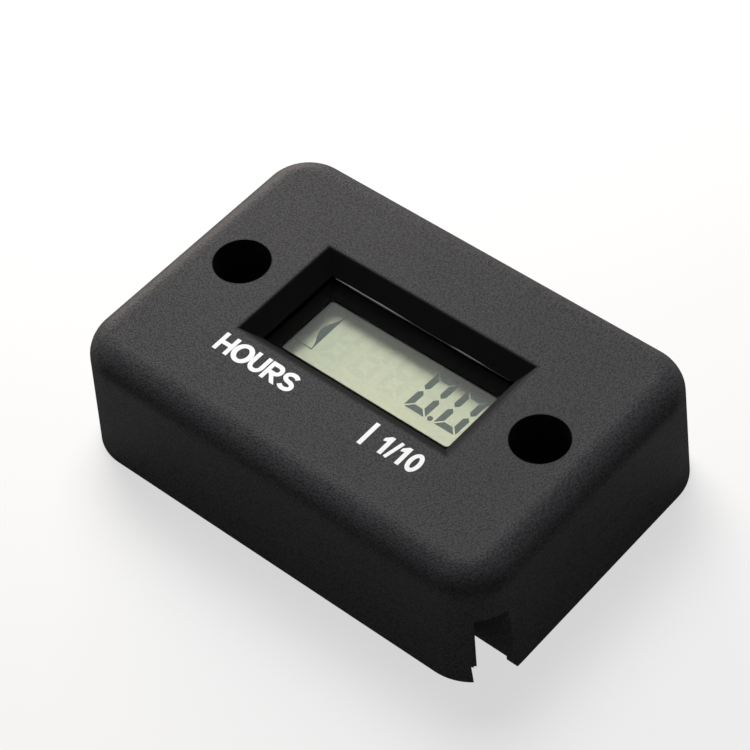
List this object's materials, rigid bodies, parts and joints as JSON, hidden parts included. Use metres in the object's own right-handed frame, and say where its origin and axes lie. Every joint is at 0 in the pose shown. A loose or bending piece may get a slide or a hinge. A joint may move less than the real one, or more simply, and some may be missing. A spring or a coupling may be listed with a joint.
{
  "type": "digital hour meter",
  "caption": "Small rectangular engine hour meter: sunk liquid crystal window, two screw wells through its face, lead notch at one corner, sunk rear cover.",
  "frame": {"origin": "centre of the base rectangle, on the plane that the case stands on", "axes": "+X along the long side, the way the display reads; +Z out of the display's face; +Y towards the top of the digits"},
  "size_m": [0.054, 0.037, 0.015],
  "materials": {
    "case_plastic": "black moulded plastic with a fine pebbled skin",
    "adhesive_foam": "thin black adhesive frame",
    "clear_acrylic": "clear polished pane",
    "bezel_plastic": "glossy black moulded plastic",
    "polariser_film": "clear grey film",
    "display_glass": "thin flat glass",
    "reflector_film": "grey-green reflecting film",
    "contact_rubber": "layered silicone rubber",
    "board_laminate": "green solder resist on glass laminate",
    "potting_resin": "black cured resin",
    "tinned_steel": "bright tinned can",
    "capacitor_ceramic": "tan fired ceramic with tinned ends",
    "capacitor_aluminium": "drawn aluminium can",
    "resistor_ceramic": "black coated ceramic chips",
    "diode_resin": "black moulded resin",
    "terminal_brass": "turned brass pins",
    "cell_steel": "nickel plated steel",
    "screw_steel": "zinc plated steel",
    "seal_rubber": "black moulded rubber",
    "cover_plastic": "black moulded plastic, plain satin",
    "legend_ink": "white pad printed ink, on pieces of the visual model only",
    "liquid_crystal": "dark grey-green segments behind the front glass, on pieces of the visual model only"
  },
  "bodies": {
    "root": {"case_shell": "case_plastic", "window_seal": "adhesive_foam", "clear_window": "clear_acrylic", "display_bezel": "bezel_plastic", "front_polariser": "polariser_film", "display_front_glass": "display_glass", "display_rear_glass": "display_glass", "rear_reflector": "reflector_film", "contact_strip_back": "contact_rubber", "contact_strip_front": "contact_rubber", "circuit_board": "board_laminate", "controller_resin": "potting_resin", "timing_crystal": "tinned_steel", "ceramic_capacitors": "capacitor_ceramic", "storage_capacitor": "capacitor_aluminium", "chip_resistors": "resistor_ceramic", "input_diodes": "diode_resin", "pickup_terminal": "terminal_brass", "coin_cell": "cell_steel", "cell_tab_negative": "cell_steel", "cell_tab_positive": "cell_steel", "board_screws": "screw_steel", "cable_grommet": "seal_rubber", "cover_seal": "seal_rubber", "tube_seals": "seal_rubber", "back_cover": "cover_plastic", "cover_screws": "screw_steel"}
  },
  "joints": []
}
